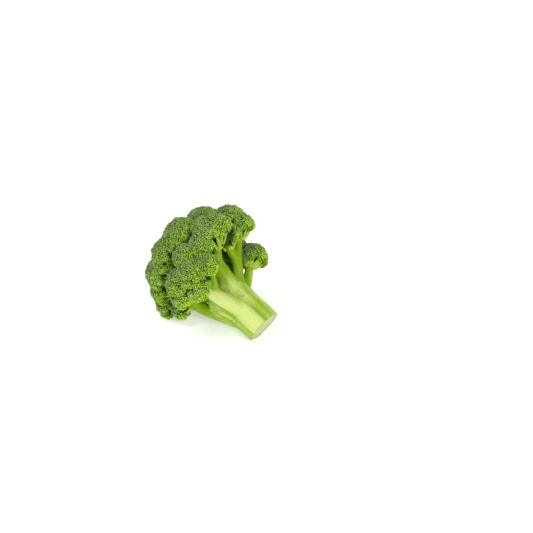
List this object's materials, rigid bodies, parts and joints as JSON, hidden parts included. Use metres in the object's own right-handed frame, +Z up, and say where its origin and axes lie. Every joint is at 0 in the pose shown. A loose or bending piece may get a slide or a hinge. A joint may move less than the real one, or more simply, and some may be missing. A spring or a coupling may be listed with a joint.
{
  "type": "broccoli head",
  "caption": "Fresh broccoli head lying on its side: a thick cut stalk that forks into boughs and twigs, each closed by a domed floret of tight flower buds.",
  "frame": {"origin": "on the surface the head lies on, under the middle of its bounding box", "axes": "+Z up, +X the way the cut end of the stalk points, seen from above, with the crown at -X"},
  "size_m": [0.1498, 0.1302, 0.1282],
  "materials": {
    "stalk": "smooth pale yellow-green skin with a soft sheen, whitish pith at the cut",
    "floret": "tight matt flower buds, deep green on top and yellower at the sides"
  },
  "bodies": {
    "root": {"stalk": "stalk", "floret_top_front": "floret", "floret_top_brow": "floret", "floret_top_low": "floret", "floret_top_right": "floret", "floret_top_back": "floret", "floret_top_left": "floret", "floret_top_middle": "floret", "floret_middle": "floret", "floret_left_high": "floret", "floret_left": "floret", "floret_left_low": "floret", "floret_left_rim": "floret", "floret_left_under": "floret", "floret_left_back": "floret", "floret_front_high": "floret", "floret_front": "floret", "floret_front_left": "floret", "floret_front_low": "floret", "floret_front_under": "floret", "floret_right": "floret", "floret_crest": "floret", "floret_back_rest": "floret", "floret_back_left": "floret", "floret_back_low": "floret", "floret_back_middle": "floret", "floret_back_high_left": "floret", "floret_back_high_right": "floret", "floret_back_right": "floret", "floret_back_right_rim": "floret"}
  },
  "joints": []
}
